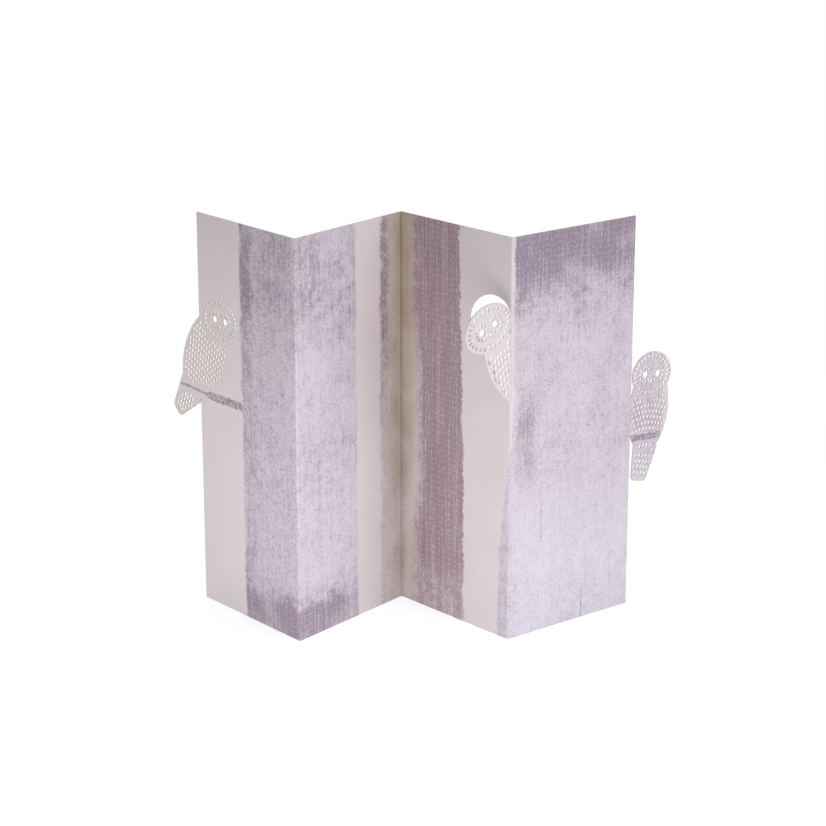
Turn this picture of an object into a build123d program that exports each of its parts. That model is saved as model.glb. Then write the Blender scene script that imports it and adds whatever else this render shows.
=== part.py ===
"""A tall greeting card that stands by itself, folded in a zigzag from one printed sheet.

Four equal panels run from the left free edge to the right free edge. Three owls are cut
into the sheet like lace. One leans out past the left edge and one looks out past the
right edge. The third is cut free of the panel on the left of the last fold but stays on
the panel on the right of it, so folding the card leaves it standing out in front of a
window of its own outline.

Frame: +Z up, +X to the right as the printed side is seen, and the printed side faces -Y.
The origin is at the foot of the middle fold, halfway through the card's thickness.
"""
from build123d import *
from math import atan2, ceil, cos, degrees, radians, sin, tan
import os

os.makedirs("parts", exist_ok=True)

# The sheet
card_height = 178.0
panel_width = 70.0
card_thickness = 0.4
fold_radius = 0.6

# How far each panel is turned from the X axis as the card stands, from left to right
panel_turns = (-50.2, 51.4, -48.6, 38.7)

# The cuts inside the owls
eye_radius = 1.5
eye_spacing = 7.6
eye_rays = 11
eye_ray_middle = 3.2
eye_ray_length = 2.0
fringe_cuts = 26
fringe_length = 2.4
ray_width = 1.25
feather_length = 3.0
feather_width = 1.3
beak_width = 1.6
row_pitch = 2.6
column_pitch = 2.1
row_droop = 2.5
row_fan = 12.0
web_width = 0.75

# The band left uncut under the feet, where the printed perch crosses
perch_band = 3.6

# The rounding of a tail's tip, and how far a figure reaches into the panel that carries it
tail_tip_radius = 2.5
root_overlap = 3.0


class Owl:
    """One owl's outline: an oval head, an egg of a body and a tail that tapers.

    Places are measured from the foot of the edge or fold that the owl looks past. A lean
    turns a piece of it anticlockwise as the printed side is seen.
    """

    def __init__(self, head, head_size, head_lean, body_size, body_drop, body_lean,
                 tail_widths, tail_length, tail_drop, tail_lean):
        self.head = Vector(*head)
        self.head_width, self.head_height = head_size
        self.head_lean = head_lean
        self.body_width, self.body_length = body_size
        self.body_lean = body_lean
        self.root_width, self.tip_width = tail_widths
        self.tail_length = tail_length
        self.tail_lean = tail_lean
        down = Vector(0, -1).rotate(Axis.Z, body_lean)
        self.body = self.head + down * body_drop
        self.tail = self.body + down * tail_drop


left_owl = Owl(
    head=(15.5, 132.2), head_size=(26.5, 19.5), head_lean=0.0,
    body_size=(29.0, 48.0), body_drop=21.0, body_lean=-33.0,
    tail_widths=(18.0, 7.0), tail_length=19.0, tail_drop=19.5, tail_lean=-42.0,
)
fold_owl = Owl(
    head=(-12.6, 141.2), head_size=(26.0, 20.0), head_lean=22.0,
    body_size=(20.0, 40.0), body_drop=21.0, body_lean=31.0,
    tail_widths=(12.0, 8.0), tail_length=12.0, tail_drop=16.0, tail_lean=31.0,
)
right_owl = Owl(
    head=(12.4, 105.0), head_size=(23.5, 20.5), head_lean=-5.0,
    body_size=(24.0, 40.0), body_drop=16.0, body_lean=-5.0,
    tail_widths=(15.0, 9.0), tail_length=17.0, tail_drop=16.0, tail_lean=-14.0,
)

# Where the printed perches cross the two outer owls
left_perch = 96.6
right_perch = 76.4


def panel_plane(foot, turn):
    """The plane of a panel: x runs along it, y runs up it and z points to the front."""
    along = Vector(1, 0, 0).rotate(Axis.Z, turn)
    return Plane(origin=foot, x_dir=along, z_dir=along.rotate(Axis.Z, -90))


def owl_outline(owl):
    """An owl's whole outline: a tapering tail with a rounded tip, and two ovals over its root."""
    with BuildSketch() as tail:
        Polygon(
            (owl.root_width / 2, 0),
            (-owl.root_width / 2, 0),
            (-owl.tip_width / 2, -owl.tail_length),
            (owl.tip_width / 2, -owl.tail_length),
            align=None,
        )
        fillet(tail.vertices().sort_by(Axis.Y)[:2], tail_tip_radius)
    with BuildSketch() as outline:
        with Locations(Location(owl.tail, (0, 0, owl.tail_lean))):
            add(tail.sketch)
        with Locations(Location(owl.body, (0, 0, owl.body_lean))):
            Ellipse(owl.body_width / 2, owl.body_length / 2)
        with Locations(Location(owl.head, (0, 0, owl.head_lean))):
            Ellipse(owl.head_width / 2, owl.head_height / 2)
    return outline.sketch


def in_oval(point, centre, lean, width, height):
    """Say whether a point lies inside a leaning oval."""
    local = (point - centre).rotate(Axis.Z, -lean)
    return (2 * local.X / width) ** 2 + (2 * local.Y / height) ** 2 < 1


def ring_places(centre, radius_x, radius_y, count):
    """Places spaced round an oval, each turned so that a cut's length points away from it."""
    places = []
    for number in range(count):
        angle = radians(360 * (number + 0.5) / count)
        spot = centre + Vector(radius_x * cos(angle), radius_y * sin(angle))
        turn = degrees(atan2(radius_x * sin(angle), radius_y * cos(angle))) - 90
        places.append((spot, turn))
    return places


def eye_ray_places(owl):
    """Short rays round each eye, left out where they would meet the beak or the other eye's."""
    places = []
    for side in (-1, 1):
        eye = Vector(side * eye_spacing / 2, 0)
        rays = ring_places(eye, eye_ray_middle, eye_ray_middle, eye_rays)
        places += [(spot, turn) for spot, turn in rays if side * spot.X > beak_width / 2 + web_width]
    return on_head(owl, places)


def fringe_places(owl):
    """The fringe of short cuts round the whole face."""
    inset = web_width + fringe_length / 2
    places = ring_places(Vector(0, 0), owl.head_width / 2 - inset, owl.head_height / 2 - inset, fringe_cuts)
    return on_head(owl, places)


def on_head(owl, places):
    """Move places drawn on an upright face to where the owl holds its head."""
    return [
        (owl.head + spot.rotate(Axis.Z, owl.head_lean), turn + owl.head_lean)
        for spot, turn in places
    ]


def feather_places(owl):
    """The body's cuts: rows that droop to the sides, every other one moved half a step."""
    places = []
    end_margin = 2 * web_width + feather_length
    side_margin = 2 * web_width + feather_width
    rows = ceil((owl.body_length + row_droop) / row_pitch)
    columns = ceil(owl.body_width / column_pitch)
    for row in range(rows):
        for column in range(-columns, columns + 1):
            x = (column + row % 2 / 2) * column_pitch
            slope = 2 * x / owl.body_width
            y = owl.body_length / 2 + row_droop * (1 - slope ** 2) - row * row_pitch
            spot = owl.body + Vector(x, y).rotate(Axis.Z, owl.body_lean)
            body_room = (owl.body_width - side_margin, owl.body_length - end_margin)
            in_body = in_oval(spot, owl.body, owl.body_lean, *body_room)
            head_reach = (owl.head_width + end_margin, owl.head_height + end_margin)
            in_head = in_oval(spot, owl.head, owl.head_lean, *head_reach)
            if in_body and not in_head:
                places.append((spot, owl.body_lean + row_fan * slope))
    return places


def tail_places(owl):
    """The tail's cuts: straight staggered rows below the body, inside the tapering sides."""
    places = []
    margin = feather_length / 2
    for row in range(1, int(owl.tail_length / row_pitch)):
        y = -row * row_pitch
        taper = -y / owl.tail_length
        half_width = (owl.root_width + (owl.tip_width - owl.root_width) * taper) / 2
        columns = ceil(half_width / column_pitch)
        for column in range(-columns, columns + 1):
            x = (column + row % 2 / 2) * column_pitch
            spot = owl.tail + Vector(x, y).rotate(Axis.Z, owl.tail_lean)
            in_sides = abs(x) < half_width - web_width - feather_width / 2
            in_body = in_oval(spot, owl.body, owl.body_lean, owl.body_width + margin, owl.body_length + margin)
            if in_sides and not in_body:
                places.append((spot, owl.tail_lean))
    return places


def draw_cuts(places, length, width):
    """Draw a lozenge at each place into the open sketch."""
    with Locations([Location(spot, (0, 0, turn)) for spot, turn in places]):
        Polygon((0, length / 2), (-width / 2, 0), (0, -length / 2), (width / 2, 0), align=None)


def draw_lace(owl, shown):
    """Draw an owl's eyes, beak, rays and feathers, as far as the rule shown(x, y) lets them."""
    eyes = []
    for side in (-1, 1):
        eye = owl.head + Vector(side * eye_spacing / 2, 0).rotate(Axis.Z, owl.head_lean)
        if shown(eye.X, eye.Y):
            eyes.append(eye)
    with Locations(eyes):
        Circle(eye_radius)
    beak = owl.head + Vector(0, -eye_ray_middle).rotate(Axis.Z, owl.head_lean)
    draw_cuts([(beak, owl.head_lean)], feather_length, beak_width)
    for places, length, width in (
        (eye_ray_places(owl), eye_ray_length, ray_width),
        (fringe_places(owl), fringe_length, ray_width),
        (feather_places(owl) + tail_places(owl), feather_length, feather_width),
    ):
        draw_cuts([place for place in places if shown(place[0].X, place[0].Y)], length, width)


def clear_of_perch(height, perch):
    """Say whether a cut at this height stays off the printed perch."""
    return abs(height - perch) > (perch_band + feather_length) / 2


# The feet of the two edges and three folds, with the bent middle fold on the origin
along = [Vector(1, 0, 0).rotate(Axis.Z, turn) for turn in panel_turns]
middle_bend = radians(panel_turns[1] - panel_turns[2])
middle_corner = (along[1] - along[2]).normalized() * fold_radius * (1 / cos(middle_bend / 2) - 1)
left_fold = middle_corner - along[1] * panel_width
left_edge = left_fold - along[0] * panel_width
right_fold = middle_corner + along[2] * panel_width
right_edge = right_fold + along[3] * panel_width

left_plane = panel_plane(left_edge, panel_turns[0])
window_plane = panel_plane(right_fold, panel_turns[2])
fold_plane = panel_plane(right_fold, panel_turns[3])
right_plane = panel_plane(right_edge, panel_turns[3])

# Half of the width that the last fold's bend takes up on each side of its corner
right_bend = radians(panel_turns[3] - panel_turns[2])
bend_reach = fold_radius * tan(right_bend / 2) + card_thickness

left_outline = owl_outline(left_owl)
fold_outline = owl_outline(fold_owl)
right_outline = owl_outline(right_owl)

# A plate is drawn on the sheet's back face, and a cut starts a little behind that
plate_back = -card_thickness / 2
cut_back = -card_thickness
cut_depth = 2 * card_thickness

with BuildPart() as card:
    # The zigzag sheet, with a small bend at each fold
    with BuildSketch(Plane.XY):
        with BuildLine():
            FilletPolyline(left_edge, left_fold, middle_corner, right_fold, right_edge, radius=fold_radius)
        trace(line_width=card_thickness)
    extrude(amount=card_height)

    # The window: the fold owl's outline on the panel that it was cut from
    with BuildSketch(window_plane.offset(cut_back)) as window:
        add(fold_outline)
        Rectangle(card_height, 2 * card_height, align=(Align.MIN, Align.CENTER), mode=Mode.SUBTRACT)
        root_line = window.edges().filter_by(Axis.Y).sort_by(Axis.X)[-1]
    extrude(amount=cut_depth, mode=Mode.SUBTRACT)
    root_height = root_line.length
    root_middle = root_line.center().Y

    # Beside the window the bend is left out, because the owl runs straight on from its panel
    with BuildSketch(Plane.XY.offset(root_middle - root_height / 2)):
        with Locations(right_fold):
            Circle(bend_reach)
    extrude(amount=root_height, mode=Mode.SUBTRACT)

    # The fold owl, in line with the last panel
    with BuildSketch(fold_plane.offset(plate_back)):
        add(fold_outline)
        Rectangle(card_height, 2 * card_height, align=(Align.MIN, Align.CENTER), mode=Mode.SUBTRACT)
        with Locations((0, root_middle)):
            Rectangle(root_overlap, root_height, align=(Align.MIN, Align.CENTER))
    extrude(amount=card_thickness)

    # The two owls that lean out past the free edges
    with BuildSketch(left_plane.offset(plate_back)):
        add(left_outline)
        with Locations((root_overlap, 0)):
            Rectangle(card_height, 2 * card_height, align=(Align.MIN, Align.CENTER), mode=Mode.SUBTRACT)
    extrude(amount=card_thickness)
    with BuildSketch(right_plane.offset(plate_back)):
        add(right_outline)
        with Locations((-root_overlap, 0)):
            Rectangle(card_height, 2 * card_height, align=(Align.MAX, Align.CENTER), mode=Mode.SUBTRACT)
    extrude(amount=card_thickness)

    # The lace, as far as each owl shows past its edge or fold and off its perch
    with BuildSketch(left_plane.offset(cut_back)):
        draw_lace(left_owl, lambda x, y: clear_of_perch(y, left_perch))
    extrude(amount=cut_depth, mode=Mode.SUBTRACT)
    with BuildSketch(fold_plane.offset(cut_back)):
        draw_lace(fold_owl, lambda x, y: x < -bend_reach)
    extrude(amount=cut_depth, mode=Mode.SUBTRACT)
    with BuildSketch(right_plane.offset(cut_back)):
        draw_lace(right_owl, lambda x, y: x > feather_width and clear_of_perch(y, right_perch))
    extrude(amount=cut_depth, mode=Mode.SUBTRACT)

card.part.label = "card"
export_step(card.part, "parts/card.step")
print(f"The card is {card.part.bounding_box().size} and holds {card.part.volume:.0f} cubic mm")
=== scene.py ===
# %% [markdown]
# # A zigzag greeting card with lace-cut owls
# The card is one printed sheet, folded three times so that it stands by itself. Its shape, with the folds,
# the owls and the small cuts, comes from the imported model. This lesson adds the printed paper, the light,
# the floor and the camera.

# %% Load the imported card
from math import cos, radians, sin

import bpy
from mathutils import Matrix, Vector

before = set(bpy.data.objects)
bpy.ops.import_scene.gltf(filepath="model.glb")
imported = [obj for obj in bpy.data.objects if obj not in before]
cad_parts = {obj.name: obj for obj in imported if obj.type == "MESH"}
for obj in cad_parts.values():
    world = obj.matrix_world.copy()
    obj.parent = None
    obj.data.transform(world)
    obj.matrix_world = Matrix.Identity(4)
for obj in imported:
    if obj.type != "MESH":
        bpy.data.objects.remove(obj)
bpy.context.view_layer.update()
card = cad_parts["card"]

# %% [markdown]
# ## The numbers behind the print
# A printer sees this card as one flat strip. So the print is drawn in two numbers: "along", in
# millimetres from the left edge, and "height", in millimetres from the foot. Each panel is 70 mm wide and
# turned in plan as in the model, so the feet of the fold lines follow from the left edge. The print needs
# no unwrapped map this way, and it runs across a fold as real ink does.

# %% Panel places and colours
PANEL_WIDTH = 70.0
CARD_HEIGHT = 178.0
MM = 1000.0

FOLD = 2.0 * PANEL_WIDTH           # place of the middle fold on the strip
LAST_PANEL = 3
PANEL_TURNS = (-50.2, 51.4, -48.6, 38.7)   # how each panel is turned in plan, in degrees
FIRST_CORNER = (-88.49, -0.59)             # left edge of the first panel in plan
LOOSE_OWL_LINE = -52.2   # in front of this line, on the right half, only the folded-out owl is left
FACING_LEAST = 0.5       # how squarely a surface must face one side to count as that side


def panel_plan():
    """Where each panel starts in plan, and the way it runs from there."""
    starts = [FIRST_CORNER]
    ways = [(cos(radians(turn)), sin(radians(turn))) for turn in PANEL_TURNS]
    for way_x, way_y in ways[:-1]:
        start_x, start_y = starts[-1]
        starts.append((start_x + PANEL_WIDTH * way_x, start_y + PANEL_WIDTH * way_y))
    return list(zip(starts, ways))


PANELS = panel_plan()

STOCK = (0.655, 0.592, 0.588)      # warm pale card
WASH = (0.625, 0.570, 0.618)       # thin lilac ground under the bands
COOL_INK = (0.290, 0.226, 0.280)   # mauve of the wide bands
WARM_INK = (0.315, 0.225, 0.250)   # redder mauve of the narrow bands
PALE_FOOT_WASH_AND_LIGHT = (0.650, 0.615, 0.675)   # paler and cooler ground towards the foot of the right band, partly print and partly painted floor light
VALLEY_SHADE_AND_INK = (0.390, 0.295, 0.170)       # brown on both sides of the middle fold: painted shade of the fold's valley, partly brown print
PERCH_INK = (0.250, 0.195, 0.250)  # the dark bars under the owls' feet
FOLD_SHADE_LINE = (0.190, 0.150, 0.110)     # painted shade: dark line down in the middle fold
CUT_WALL_SHADE = (0.480, 0.370, 0.260)     # tan painted shade on the thin cut walls

for start, way in PANELS:
    print("panel from", [round(value, 2) for value in start], "running", [round(value, 4) for value in way])


# %% [markdown]
# ## Small helpers for nodes
# A node tree is easier to read as sums than as boxes and wires. These helpers let a formula be written in
# plain steps, where each step gives back the socket of its answer.

# %% Node helpers
def feed(tree, socket, value):
    """Link a socket to an input, or set the input to a plain value."""
    if isinstance(value, bpy.types.NodeSocket):
        tree.links.new(value, socket)
    elif isinstance(value, tuple) and len(value) == 3 and len(socket.default_value) == 4:
        socket.default_value = (*value, 1.0)
    else:
        socket.default_value = value


def maths(tree, operation, *values, clamp=False):
    """One sum, as a socket."""
    node = tree.nodes.new("ShaderNodeMath")
    node.operation = operation
    node.use_clamp = clamp
    for place, value in enumerate(values):
        feed(tree, node.inputs[place], value)
    return node.outputs[0]


def ramp(tree, value, low, high, start=0.0, end=1.0, smooth=True):
    """Carry a value from one range to another, held at both ends."""
    node = tree.nodes.new("ShaderNodeMapRange")
    node.interpolation_type = "SMOOTHSTEP" if smooth else "LINEAR"
    node.clamp = True
    for name, number in (("Value", value), ("From Min", low), ("From Max", high),
                         ("To Min", start), ("To Max", end)):
        feed(tree, node.inputs[name], number)
    return node.outputs[0]


def vector(tree, x, y, z):
    """Three values as one vector."""
    node = tree.nodes.new("ShaderNodeCombineXYZ")
    for place, value in enumerate((x, y, z)):
        feed(tree, node.inputs[place], value)
    return node.outputs[0]


def noise(tree, place, scale, detail=2.0, roughness=0.5):
    """Soft random values between about 0.3 and 0.7."""
    node = tree.nodes.new("ShaderNodeTexNoise")
    node.noise_dimensions = "3D"
    feed(tree, node.inputs["Vector"], place)
    feed(tree, node.inputs["Scale"], scale)
    feed(tree, node.inputs["Detail"], detail)
    feed(tree, node.inputs["Roughness"], roughness)
    return node.outputs["Fac"]


def curve(tree, value, points):
    """A line drawn through a few points, for something that changes along the height."""
    node = tree.nodes.new("ShaderNodeFloatCurve")
    line = node.mapping.curves[0]
    line.points[0].location = points[0]
    line.points[1].location = points[-1]
    for x, y in points[1:-1]:
        line.points.new(x, y)
    for point in line.points:
        point.handle_type = "VECTOR"
    node.mapping.update()
    feed(tree, node.inputs["Value"], value)
    return node.outputs[0]


def blend(tree, amount, below, above, way="MIX"):
    """Lay one colour over another."""
    node = tree.nodes.new("ShaderNodeMix")
    node.data_type = "RGBA"
    node.blend_type = way
    node.clamp_factor = True
    feed(tree, node.inputs[0], amount)
    feed(tree, node.inputs[6], below)
    feed(tree, node.inputs[7], above)
    return node.outputs[2]


def new_group(name, inputs, outputs):
    """An empty effect with named sockets. Gives the group, what comes in and the node that goes out."""
    group = bpy.data.node_groups.new(name, "ShaderNodeTree")
    for label, kind in inputs:
        group.interface.new_socket(label, in_out="INPUT", socket_type="NodeSocket" + kind)
    for label, kind in outputs:
        group.interface.new_socket(label, in_out="OUTPUT", socket_type="NodeSocket" + kind)
    enter = group.nodes.new("NodeGroupInput")
    leave = group.nodes.new("NodeGroupOutput")
    return group, enter.outputs, leave.inputs


def use(tree, group, **values):
    """Put an effect into a tree, with its inputs given by name, and hand back its outputs."""
    node = tree.nodes.new("ShaderNodeGroup")
    node.node_tree = group
    for name, value in values.items():
        feed(tree, node.inputs[name.replace("_", " ").capitalize()], value)
    return node.outputs


print("helpers ready")


# %% [markdown]
# ## Finding a place on the strip
# The effect below turns a point of the folded card into its place on the flat strip, and tells the printed
# face, the plain back and the thin cut walls apart by the way the surface faces.

# %% Effect: strip place
def strip_place():
    group, given, result = new_group(
        "strip place", (("Position", "Vector"), ("Facing", "Vector")),
        (("Along", "Float"), ("Height", "Float"), ("Printed side", "Float"), ("Cut wall", "Float")))
    split = group.nodes.new("ShaderNodeSeparateXYZ")
    feed(group, split.inputs[0], given["Position"])
    x = maths(group, "MULTIPLY", split.outputs[0], MM)
    y = maths(group, "MULTIPLY", split.outputs[1], MM)
    height = maths(group, "MULTIPLY", split.outputs[2], MM)
    turn = group.nodes.new("ShaderNodeSeparateXYZ")
    feed(group, turn.inputs[0], given["Facing"])

    along = facing = None
    for number, ((start_x, start_y), (way_x, way_y)) in enumerate(PANELS):
        run = maths(group, "MULTIPLY_ADD", maths(group, "SUBTRACT", x, start_x), way_x,
                    number * PANEL_WIDTH)
        run = maths(group, "MULTIPLY_ADD", maths(group, "SUBTRACT", y, start_y), way_y, run)
        front = maths(group, "SUBTRACT", maths(group, "MULTIPLY", turn.outputs[0], way_y),
                      maths(group, "MULTIPLY", turn.outputs[1], way_x))
        if along is None:
            along, facing = run, front
            continue
        inside = maths(group, "GREATER_THAN", x, start_x)
        if number == LAST_PANEL:
            loose = maths(group, "MULTIPLY", maths(group, "GREATER_THAN", x, 0.0),
                          maths(group, "LESS_THAN", y, LOOSE_OWL_LINE))
            inside = maths(group, "MAXIMUM", inside, loose)
        along = ramp(group, inside, 0.0, 1.0, along, run, smooth=False)
        facing = ramp(group, inside, 0.0, 1.0, facing, front, smooth=False)

    printed = maths(group, "GREATER_THAN", facing, FACING_LEAST)
    back = maths(group, "LESS_THAN", facing, -FACING_LEAST)
    wall = maths(group, "SUBTRACT", maths(group, "SUBTRACT", 1.0, printed), back, clamp=True)
    for name, value in (("Along", along), ("Height", height), ("Printed side", printed),
                        ("Cut wall", wall)):
        feed(group, result[name], value)
    return group


STRIP_PLACE = strip_place()
print("effect", STRIP_PLACE.name, "with", len(STRIP_PLACE.nodes), "nodes")


# %% [markdown]
# ## A band with a wavering edge
# Each band of ink is brushed from the top to the foot, so its sides are nearly straight but never ruled.
# The effect gives 1 inside the band and 0 outside, and a slow noise pushes the two edges about.

# %% Effect: brushed band
def brushed_band():
    group, given, result = new_group(
        "brushed band", (("Along", "Float"), ("Height", "Float"), ("Left", "Float"), ("Right", "Float"),
                         ("Left fade", "Float"), ("Right fade", "Float"), ("Waver", "Float")),
        (("Mask", "Float"),))
    slow = noise(group, vector(group, maths(group, "MULTIPLY", given["Left"], 0.11), given["Height"], 0.0),
                 0.06, 3.0, 0.6)
    quick = noise(group, vector(group, given["Along"], given["Height"], 7.0), 0.9, 2.0, 0.6)
    push = maths(group, "ADD", maths(group, "SUBTRACT", slow, 0.5),
                 maths(group, "MULTIPLY", maths(group, "SUBTRACT", quick, 0.5), 0.6))
    place = maths(group, "MULTIPLY_ADD", push, given["Waver"], given["Along"])
    left = ramp(group, place, given["Left"], maths(group, "ADD", given["Left"], given["Left fade"]))
    fade_start = maths(group, "SUBTRACT", given["Right"], given["Right fade"])
    right = ramp(group, place, fade_start, given["Right"], 1.0, 0.0)
    feed(group, result["Mask"], maths(group, "MULTIPLY", left, right))
    return group


BRUSHED_BAND = brushed_band()
print("effect", BRUSHED_BAND.name, "with", len(BRUSHED_BAND.nodes), "nodes")


# %% [markdown]
# ## Ink that breaks up into specks
# A nearly dry brush leaves ink only on the high points of the paper. Where much ink is left it covers
# nearly everything, and where little is left only specks stay. The effect compares a fine noise with the
# amount of ink, so the average tone follows the amount while the specks stay apart. A second noise, drawn
# out along the height, adds the streaks of the brush.

# %% Effect: dry ink
STREAK_SHARE = 0.16     # how much of the grain is streaks, the rest is specks
SPECK_SOFTNESS = 0.13   # half the width of a speck's soft edge, in noise values
SPECK_SHARE = 0.52      # how much of the ink lies in specks, the rest is an even film


def dry_ink():
    group, given, result = new_group(
        "dry ink", (("Along", "Float"), ("Height", "Float"), ("Amount", "Float")), (("Ink", "Float"),))
    specks = noise(group, vector(group, given["Along"], given["Height"], 3.0), 1.5, 2.0, 0.65)
    drawn_out = maths(group, "MULTIPLY", given["Height"], 0.12)
    streaks = noise(group, vector(group, given["Along"], drawn_out, 11.0), 1.3, 1.0, 0.5)
    grain = maths(group, "ADD", maths(group, "MULTIPLY", specks, 1.0 - STREAK_SHARE),
                  maths(group, "MULTIPLY", streaks, STREAK_SHARE))
    level = ramp(group, given["Amount"], 0.0, 1.0, 0.64, 0.36, smooth=False)
    ink = ramp(group, maths(group, "SUBTRACT", grain, level), -SPECK_SOFTNESS, SPECK_SOFTNESS)
    even = maths(group, "MULTIPLY", given["Amount"], 1.0 - SPECK_SHARE)
    laid = maths(group, "MULTIPLY_ADD", ink, SPECK_SHARE, even, clamp=True)
    feed(group, result["Ink"], maths(group, "MULTIPLY", laid, ramp(group, given["Amount"], 0.02, 0.12)))
    return group


DRY_INK = dry_ink()
print("effect", DRY_INK.name, "with", len(DRY_INK.nodes), "nodes")


# %% [markdown]
# ## Dots and lines of the printed cloth
# The solid parts look as if ink was rubbed through cloth: small pale dots stand in columns, and fine
# lines run up the sheet. Cells on a slightly shaken grid give the dots.

# %% Effect: cloth mark
DOT_COLUMN = 2.2   # spacing of the dots along the strip, in millimetres
DOT_ROW = 2.6      # and up the sheet


def cloth_mark():
    group, given, result = new_group(
        "cloth mark", (("Along", "Float"), ("Height", "Float")), (("Dots", "Float"), ("Lines", "Float")))
    cells = group.nodes.new("ShaderNodeTexVoronoi")
    cells.voronoi_dimensions = "2D"
    cells.feature = "F1"
    column = maths(group, "DIVIDE", given["Along"], DOT_COLUMN)
    row = maths(group, "DIVIDE", given["Height"], DOT_ROW)
    feed(group, cells.inputs["Vector"], vector(group, column, row, 0.0))
    feed(group, cells.inputs["Scale"], 1.0)
    feed(group, cells.inputs["Randomness"], 0.45)
    feed(group, result["Dots"], ramp(group, cells.outputs["Distance"], 0.10, 0.27, 1.0, 0.0))
    long_way = maths(group, "MULTIPLY", given["Height"], 0.02)
    lines = noise(group, vector(group, given["Along"], long_way, 5.0), 1.5, 1.0, 0.5)
    feed(group, result["Lines"], ramp(group, lines, 0.35, 0.65))
    return group


CLOTH_MARK = cloth_mark()
print("effect", CLOTH_MARK.name, "with", len(CLOTH_MARK.nodes), "nodes")


# %% [markdown]
# ## Paper fibre
# Uncoated card is matt and faintly rough: short fibres lie every way, with a slow cloudiness under them.

# %% Effect: paper fibre
def paper_fibre():
    group, given, result = new_group(
        "paper fibre", (("Position", "Vector"),), (("Grain", "Float"), ("Cloud", "Float")))
    fine = noise(group, given["Position"], 900.0, 3.0, 0.6)
    cloud = noise(group, given["Position"], 60.0, 2.0, 0.5)
    feed(group, result["Grain"], fine)
    feed(group, result["Cloud"], cloud)
    return group


PAPER_FIBRE = paper_fibre()
print("effect", PAPER_FIBRE.name, "with", len(PAPER_FIBRE.nodes), "nodes")


# %% [markdown]
# ## How much ink lies where
# The bands are drawn as amounts of ink over the flat strip. Each band has its own place, its own way of
# fading from the top to the foot, clouds where the brush pressed harder, and smaller patches where the ink
# is thin. The amount goes into the dry ink effect afterwards, so the same grain runs through all of them.
# The curves below give the tone of each band over the height, as pairs of height and amount.

# %% Effect: band amounts
def at(height):
    """A height as a share of the card's height, for the tone curves."""
    return height / CARD_HEIGHT


WIDE_LEFT_TONE = ((0.0, 0.74), (at(11), 0.76), (at(15), 0.50), (at(22), 0.28), (at(30), 0.22),
                  (at(58), 0.22), (at(80), 0.30), (at(100), 0.24), (at(122), 0.22), (at(138), 0.32),
                  (at(152), 0.54), (at(164), 0.40), (1.0, 0.34))
STRIPE_TONE = ((0.0, 0.1), (at(28), 0.30), (at(45), 0.15), (at(95), 0.18), (at(118), 0.36), (at(132), 0.2),
               (at(152), 0.42), (1.0, 0.22))
NARROW_TONE = ((0.0, 0.22), (at(30), 0.25), (at(80), 0.34), (at(105), 0.46), (at(120), 0.56),
               (at(128), 0.74), (1.0, 0.72))
DARK_TONE = ((0.0, 0.56), (at(14), 0.62), (at(26), 0.94), (at(140), 0.97), (1.0, 0.88))
WIDE_RIGHT_TONE = ((0.0, 0.20), (at(15), 0.16), (at(28), 0.10), (at(60), 0.13), (at(85), 0.26),
                   (at(105), 0.20), (at(135), 0.22), (at(146), 0.40), (at(156), 0.72), (at(163), 1.0),
                   (1.0, 1.0))
FLARE_LEFT = ((0.0, 0.31), (at(20), 0.32), (at(40), 0.40), (at(62), 0.62), (at(85), 0.83), (at(110), 0.95),
              (1.0, 0.95))
DARK_RIGHT = ((0.0, 0.62), (at(30), 0.58), (at(72), 0.55), (at(105), 0.42), (at(135), 0.28), (1.0, 0.12))


SCRATCHES = ((252.5, -2.0, 20.0), (228.0, 40.0, 61.0))   # place along the strip, foot and top


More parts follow.
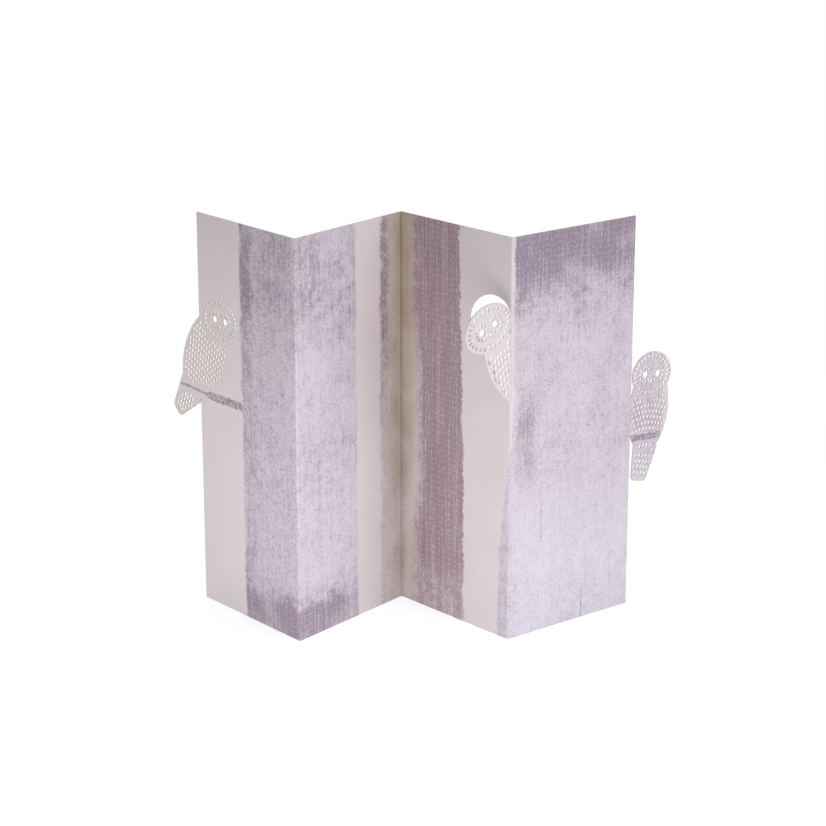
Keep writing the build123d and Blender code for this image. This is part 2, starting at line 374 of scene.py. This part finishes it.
def band_amounts():
    group, given, result = new_group(
        "band amounts", (("Along", "Float"), ("Height", "Float")),
        (("Cool", "Float"), ("Warm", "Float"), ("Valley shade and ink", "Float"), ("Wash", "Float"), ("Solid", "Float"),
         ("Fold shade line", "Float")))
    along, height = given["Along"], given["Height"]
    share = maths(group, "DIVIDE", height, CARD_HEIGHT)
    clouds = noise(group, vector(group, along, height, 21.0), 0.055, 3.0, 0.55)
    clouds = ramp(group, clouds, 0.3, 0.7, 0.55, 1.45, smooth=False)
    patches = noise(group, vector(group, along, height, 43.0), 0.21, 3.0, 0.6)
    patches = ramp(group, patches, 0.3, 0.7, 0.45, 1.55, smooth=False)

    def band(left, right, left_fade, right_fade, waver):
        return use(group, BRUSHED_BAND, along=along, height=height, left=left, right=right,
                   left_fade=left_fade, right_fade=right_fade, waver=waver)["Mask"]

    def times(*values):
        product = values[0]
        for value in values[1:]:
            product = maths(group, "MULTIPLY", product, value)
        return product

    def rising(low, high, start=0.0, end=1.0):
        """A value that goes from start to end between two heights."""
        return ramp(group, height, low, high, start, end)

    def away_from(value, middle):
        return maths(group, "ABSOLUTE", maths(group, "SUBTRACT", value, middle))

    def mottled(tone):
        """Patches at full strength in thin ink, and none in solid ink."""
        return maths(group, "MULTIPLY_ADD", maths(group, "SUBTRACT", patches, 1.0),
                     ramp(group, tone, 0.5, 0.8, 1.0, 0.0), 1.0)

    # The wide band over the first fold, with a darker stripe down its left side.
    wide_left = band(left=30.5, right=110.0, left_fade=2.0, right_fade=2.0, waver=3.5)
    stripe = band(left=30.5, right=41.5, left_fade=1.0, right_fade=6.0, waver=6.0)
    left_tone = curve(group, share, WIDE_LEFT_TONE)
    cool = times(wide_left, left_tone, clouds, mottled(left_tone))
    cool = maths(group, "ADD", cool, times(stripe, curve(group, share, STRIPE_TONE), patches))

    # The wide band of the last panel, which flares over the last fold towards its foot.
    flare = maths(group, "MULTIPLY_ADD", curve(group, share, FLARE_LEFT), 13.0, 198.5)
    wide_right = band(left=flare, right=300.0, left_fade=1.8, right_fade=1.0, waver=2.5)
    right_tone = curve(group, share, WIDE_RIGHT_TONE)
    right_amount = times(wide_right, right_tone, clouds, mottled(right_tone))
    left_rim = times(band(left=212.0, right=226.0, left_fade=2.0, right_fade=6.0, waver=4.0),
                     rising(140.0, 152.0, 0.0, 0.45))
    low_rim = times(band(left=211.5, right=233.0, left_fade=3.0, right_fade=14.0, waver=6.0),
                    rising(50.0, 90.0, 0.0, 0.56), rising(130.0, 96.0), clouds)
    rims = maths(group, "ADD", left_rim, low_rim)
    cool = maths(group, "ADD", cool, maths(group, "MAXIMUM", right_amount, rims))
    flare_rim = times(band(left=flare, right=216.0, left_fade=1.5, right_fade=8.0, waver=3.0),
                      rising(104.0, 60.0, 0.0, 0.30), patches)
    cool = maths(group, "MAXIMUM", cool, flare_rim)
    for middle, foot, top in SCRATCHES:
        across = ramp(group, away_from(along, middle), 0.15, 0.5, 1.0, 0.0)
        cool = maths(group, "ADD", cool, times(across, rising(foot, foot + 3.0),
                                               rising(top - 8.0, top, 0.42, 0.0)))

    # The narrow band and its smoky ink on both sides of the middle fold, then the painted shade of the
    # fold's valley: a brown one, partly brown print, and a dark line down the fold.
    narrow = times(band(left=124.2, right=134.0, left_fade=2.2, right_fade=6.0, waver=5.5),
                   curve(group, share, NARROW_TONE), patches)
    smoke = times(band(left=126.0, right=146.0, left_fade=4.0, right_fade=6.0, waver=3.0),
                  rising(150.0, 80.0, 0.04, 0.22), clouds)
    # brown painted shade of the fold's valley, partly brown print
    valley_shade_and_ink = times(band(left=124.0, right=156.0, left_fade=13.0, right_fade=13.0, waver=3.0),
                 rising(30.0, 90.0, 0.30, 0.58), clouds)
    # painted shade: a dark line down in the middle fold
    fold_shade_line = ramp(group, away_from(along, FOLD), 0.4, 1.5, 1.0, 0.0)
    fold_shade_line = maths(group, "MULTIPLY", fold_shade_line, rising(20.0, 150.0, 0.34, 0.60))

    # The dark band, rough on its left side, and a little red in the first panel's part of the wide band.
    dark_right = maths(group, "MULTIPLY_ADD", curve(group, share, DARK_RIGHT), 8.0, 177.0)
    near_middle = ramp(group, away_from(height, 82.0), 20.0, 60.0, 1.0, 0.0)
    rough_left = maths(group, "MULTIPLY_ADD", near_middle, 4.5, 144.0)
    dark_mask = band(left=rough_left, right=dark_right, left_fade=10.0, right_fade=1.0, waver=6.0)
    dark = times(dark_mask, curve(group, share, DARK_TONE))
    dark = maths(group, "MULTIPLY", dark, mottled(dark))
    red_part = times(wide_left, ramp(group, along, 66.0, 74.0, 0.17, 0.0))
    warm = maths(group, "ADD", maths(group, "MAXIMUM", narrow, smoke), maths(group, "ADD", dark, red_part))

    wash = maths(group, "MAXIMUM", wide_left, wide_right)
    solid = maths(group, "MAXIMUM", ramp(group, cool, 0.5, 0.85), ramp(group, warm, 0.5, 0.85))
    for name, value in (("Cool", cool), ("Warm", warm), ("Valley shade and ink", valley_shade_and_ink), ("Wash", wash), ("Solid", solid),
                        ("Fold shade line", fold_shade_line)):
        feed(group, result[name], value)
    return group


BAND_AMOUNTS = band_amounts()
print("effect", BAND_AMOUNTS.name, "with", len(BAND_AMOUNTS.nodes), "nodes")


# %% [markdown]
# ## The perches
# Each owl at the side stands on a thin dark bar, printed like a twig. The left one gets thinner as it
# leaves the panel, and the right one falls a little towards its tip.

# %% Effect: perch bars
EDGE_SOFTNESS = 0.25   # half the width of a bar's soft edge, in millimetres


def perch_bars():
    group, given, result = new_group(
        "perch bars", (("Along", "Float"), ("Height", "Float")), (("Mask", "Float"),))
    along, height = given["Along"], given["Height"]
    wobble = noise(group, vector(group, along, height, 31.0), 0.45, 2.0, 0.6)
    wobble = maths(group, "MULTIPLY", maths(group, "SUBTRACT", wobble, 0.5), 1.6)

    def bar(start, end, middle, half):
        inside = maths(group, "MULTIPLY", maths(group, "GREATER_THAN", along, start),
                       maths(group, "LESS_THAN", along, end))
        shaken = maths(group, "ADD", height, wobble)
        off = maths(group, "ABSOLUTE", maths(group, "SUBTRACT", shaken, middle))
        edge = ramp(group, off, maths(group, "SUBTRACT", half, EDGE_SOFTNESS),
                    maths(group, "ADD", half, EDGE_SOFTNESS), 1.0, 0.0)
        return maths(group, "MULTIPLY", inside, edge)

    left_middle = ramp(group, along, -15.0, 10.0, 97.6, 96.6)
    left_half = ramp(group, along, 2.0, 9.0, 0.55, 1.85)
    right_middle = ramp(group, along, 280.0, 298.0, 77.2, 76.2, smooth=False)
    left = bar(-15.5, 31.2, left_middle, left_half)
    right = bar(280.0, 298.2, right_middle, 1.45)
    feed(group, result["Mask"], maths(group, "MAXIMUM", left, right))
    return group


PERCH_BARS = perch_bars()
print("effect", PERCH_BARS.name, "with", len(PERCH_BARS.nodes), "nodes")


# %% [markdown]
# ## The card's one material
# Ink on uncoated card sinks in, so the print changes the colour and hardly the sheen. The stock comes
# first, then the lilac wash with its paler, cooler foot, which is partly painted floor light, then the
# brown painted shade in the valley of the middle fold, partly brown print, the two inks, the dark painted
# shade line in the middle fold, the perches, and last the tan painted shade on the walls of the cuts. The
# back of the sheet is left plain. The painted light and shade are set in the colour here, so they stay the
# same when the lamps change.

# %% Material: printed card
def printed_card():
    material = bpy.data.materials.new("printed card stock")
    material.use_nodes = True
    tree = material.node_tree
    tree.nodes.clear()
    output = tree.nodes.new("ShaderNodeOutputMaterial")
    shader = tree.nodes.new("ShaderNodeBsdfPrincipled")
    tree.links.new(shader.outputs[0], output.inputs["Surface"])
    shader.inputs["Specular IOR Level"].default_value = 0.25

    point = tree.nodes.new("ShaderNodeTexCoord")
    place = use(tree, STRIP_PLACE, position=point.outputs["Object"], facing=point.outputs["Normal"])
    along, height, printed = place["Along"], place["Height"], place["Printed side"]
    fibre = use(tree, PAPER_FIBRE, position=point.outputs["Object"])
    bands = use(tree, BAND_AMOUNTS, along=along, height=height)
    marks = use(tree, CLOTH_MARK, along=along, height=height)

    def on_front(value, strength=1.0):
        return maths(tree, "MULTIPLY", maths(tree, "MULTIPLY", value, printed), strength)

    colour = blend(tree, ramp(tree, fibre["Cloud"], 0.3, 0.7, 0.0, 1.0), STOCK,
                   tuple(value * 0.975 for value in STOCK))
    colour = blend(tree, on_front(bands["Wash"], 0.9), colour, WASH)
    # the right band's paler, cooler foot: partly print, partly painted floor light
    low_right_wash_and_light = maths(tree, "MULTIPLY", ramp(tree, along, 206.0, 216.0), ramp(tree, height, 66.0, 14.0))
    colour = blend(tree, on_front(maths(tree, "MULTIPLY", bands["Wash"], low_right_wash_and_light)), colour, PALE_FOOT_WASH_AND_LIGHT)
    # brown painted shade of the middle fold's valley, partly brown print
    colour = blend(tree, on_front(bands["Valley shade and ink"]), colour, VALLEY_SHADE_AND_INK)
    lines = ramp(tree, marks["Lines"], 0.0, 1.0, 0.78, 1.22, smooth=False)
    holes = maths(tree, "MULTIPLY_ADD", maths(tree, "MULTIPLY", marks["Dots"], bands["Solid"]), -0.30, 1.0)
    for amount, ink in ((bands["Cool"], COOL_INK), (bands["Warm"], WARM_INK)):
        laid = use(tree, DRY_INK, along=along, height=height, amount=maths(tree, "MULTIPLY", amount, lines))
        colour = blend(tree, on_front(maths(tree, "MULTIPLY", laid["Ink"], holes)), colour, ink)

    # painted shade: the dark line down in the middle fold
    colour = blend(tree, on_front(bands["Fold shade line"]), colour, FOLD_SHADE_LINE)

    perch = use(tree, PERCH_BARS, along=along, height=height)["Mask"]
    worn = ramp(tree, noise(tree, point.outputs["Object"], 700.0, 2.0), 0.35, 0.6, 0.35, 0.90)
    colour = blend(tree, on_front(maths(tree, "MULTIPLY", perch, worn)), colour, PERCH_INK)
    # tan painted shade on the thin cut walls
    colour = blend(tree, maths(tree, "MULTIPLY", place["Cut wall"], 0.75), colour, CUT_WALL_SHADE)
    tree.links.new(colour, shader.inputs["Base Color"])

    rough = ramp(tree, fibre["Grain"], 0.3, 0.7, 0.82, 0.94)
    tree.links.new(rough, shader.inputs["Roughness"])
    bump = tree.nodes.new("ShaderNodeBump")
    bump.inputs["Strength"].default_value = 0.25
    bump.inputs["Distance"].default_value = 0.00008
    tree.links.new(fibre["Grain"], bump.inputs["Height"])
    tree.links.new(bump.outputs[0], shader.inputs["Normal"])
    return material


card_material = printed_card()
card.data.materials.clear()
card.data.materials.append(card_material)
print("material", card_material.name, "on", card.name)


# %% [markdown]
# ## Floor and light
# The card stands on a pale matt table. To the camera the table is white a little way off, and near the
# card it still takes the card's soft shadow. For every other ray it is plain matt, so it throws light back
# up at the lower half of the panels.

# %% Floor
SHADOW_REACH = 0.14   # within this distance from the middle the table takes the whole shadow, in metres
WHITE_REACH = 0.34    # and beyond this one it is white

bpy.ops.mesh.primitive_plane_add(size=1.0, location=(0.0, 0.2, 0.0))
floor = bpy.context.object
floor.scale = (2.0, 2.0, 1.0)
floor.name = "floor"
floor_material = bpy.data.materials.new("pale floor")
floor_material.use_nodes = True
table_top = floor_material.node_tree
table_top.nodes.clear()
table_path = table_top.nodes.new("ShaderNodeLightPath")
looked_at = maths(table_top, "MAXIMUM", table_path.outputs["Is Camera Ray"],
                  maths(table_top, "MAXIMUM", table_path.outputs["Is Glossy Ray"],
                        table_path.outputs["Is Transmission Ray"]))
table_point = table_top.nodes.new("ShaderNodeNewGeometry")
reach = table_top.nodes.new("ShaderNodeVectorMath")
reach.operation = "LENGTH"
table_top.links.new(table_point.outputs["Position"], reach.inputs[0])
far_away = ramp(table_top, reach.outputs["Value"], SHADOW_REACH, WHITE_REACH)
matt = table_top.nodes.new("ShaderNodeBsdfDiffuse")
matt.inputs["Color"].default_value = (0.90, 0.93, 0.97, 1.0)
soft_matt = table_top.nodes.new("ShaderNodeBsdfDiffuse")
soft_matt.inputs["Color"].default_value = (0.42, 0.45, 0.50, 1.0)
glow = table_top.nodes.new("ShaderNodeEmission")
glow.inputs["Strength"].default_value = 0.70
white_glow = table_top.nodes.new("ShaderNodeEmission")
white_glow.inputs["Strength"].default_value = 1.0
near_card = table_top.nodes.new("ShaderNodeAddShader")
table_top.links.new(soft_matt.outputs[0], near_card.inputs[0])
table_top.links.new(glow.outputs[0], near_card.inputs[1])
shown_floor = table_top.nodes.new("ShaderNodeMixShader")
table_top.links.new(far_away, shown_floor.inputs[0])
table_top.links.new(near_card.outputs[0], shown_floor.inputs[1])
table_top.links.new(white_glow.outputs[0], shown_floor.inputs[2])
pick = table_top.nodes.new("ShaderNodeMixShader")
table_top.links.new(looked_at, pick.inputs[0])
table_top.links.new(matt.outputs[0], pick.inputs[1])
table_top.links.new(shown_floor.outputs[0], pick.inputs[2])
table_output = table_top.nodes.new("ShaderNodeOutputMaterial")
table_top.links.new(pick.outputs[0], table_output.inputs["Surface"])
floor.data.materials.append(floor_material)
print("floor", floor.name)


# %% [markdown]
# A wide warm lamp hangs above and in front, a plain one above and behind, and a cooler one stands to the
# right. Two small cool ones lie near the table, so the panels grow lighter and cooler towards their feet. A
# lamp behind lights the plain back and throws no direct light on any printed face.

# %% Lamps
def soft_lamp(name, location, aim, width, height, power, colour=(1.0, 1.0, 1.0)):
    """A wide panel of light that points at one spot."""
    data = bpy.data.lights.new(name, "AREA")
    data.shape = "RECTANGLE"
    data.size = width
    data.size_y = height
    data.energy = power
    data.color = colour
    lamp = bpy.data.objects.new(name, data)
    lamp.location = location
    lamp.rotation_euler = (Vector(aim) - Vector(location)).to_track_quat("-Z", "Y").to_euler()
    bpy.context.scene.collection.objects.link(lamp)
    print("lamp", name, power, "W")
    return lamp


WARM = (1.0, 0.885, 0.71)
COOL = (0.89, 0.92, 1.0)
soft_lamp("lamp over front", (0.0, -0.9, 2.2), (0.0, -0.1, 0.0), 2.6, 2.6, 26.0, WARM)
soft_lamp("lamp over back", (0.0, 1.0, 2.2), (0.0, 0.0, 0.0), 2.6, 2.6, 10.0)
soft_lamp("lamp behind", (0.0, 1.2, 0.45), (0.0, 0.0, 0.08), 0.8, 0.8, 12.5)
soft_lamp("lamp right", (0.9, -0.6, 0.5), (0.0, -0.03, 0.06), 0.8, 0.8, 6.8, COOL)
low_left = soft_lamp("lamp low left", (-0.24, -0.22, 0.03), (-0.03, -0.03, 0.02), 0.3, 0.06, 0.37, COOL)
low_front = soft_lamp("lamp low front", (0.03, -0.27, 0.03), (0.0, -0.03, 0.02), 0.3, 0.06, 0.29, COOL)
for lamp in (low_left, low_front):
    lamp.visible_camera = False

# %% [markdown]
# The backdrop is white for the camera and in reflections, while the air that lights the card stays dimmer.

# %% Backdrop
world = bpy.data.worlds.new("studio air")
bpy.context.scene.world = world
world.use_nodes = True
air = world.node_tree
air.nodes.clear()
path = air.nodes.new("ShaderNodeLightPath")
seen = maths(air, "MAXIMUM", path.outputs["Is Camera Ray"],
             maths(air, "MAXIMUM", path.outputs["Is Glossy Ray"], path.outputs["Is Transmission Ray"]))
dim = air.nodes.new("ShaderNodeBackground")
dim.inputs["Color"].default_value = (0.95, 0.97, 1.0, 1.0)
dim.inputs["Strength"].default_value = 0.04
white = air.nodes.new("ShaderNodeBackground")
white.inputs["Strength"].default_value = 1.0
white.inputs["Color"].default_value = (1.0, 1.0, 1.0, 1.0)
choice = air.nodes.new("ShaderNodeMixShader")
air.links.new(seen, choice.inputs[0])
air.links.new(dim.outputs[0], choice.inputs[1])
air.links.new(white.outputs[0], choice.inputs[2])
world_output = air.nodes.new("ShaderNodeOutputWorld")
air.links.new(choice.outputs[0], world_output.inputs["Surface"])
bpy.context.scene.view_settings.view_transform = "Standard"
print("backdrop", world.name)

# %% [markdown]
# ## Camera
# The photograph looks down a little at the card from in front, with a longish lens.

# %% Camera
camera_data = bpy.data.cameras.new("camera")
camera_data.lens = 105.27
camera_data.sensor_width = 36.0
camera = bpy.data.objects.new("camera", camera_data)
camera.location = (0.0052, -1.0280, 0.3942)
camera.rotation_euler = (radians(90.0 - 16.65), 0.0, 0.0)
bpy.context.scene.collection.objects.link(camera)
bpy.context.scene.camera = camera
print("camera", [round(value, 4) for value in camera.location])
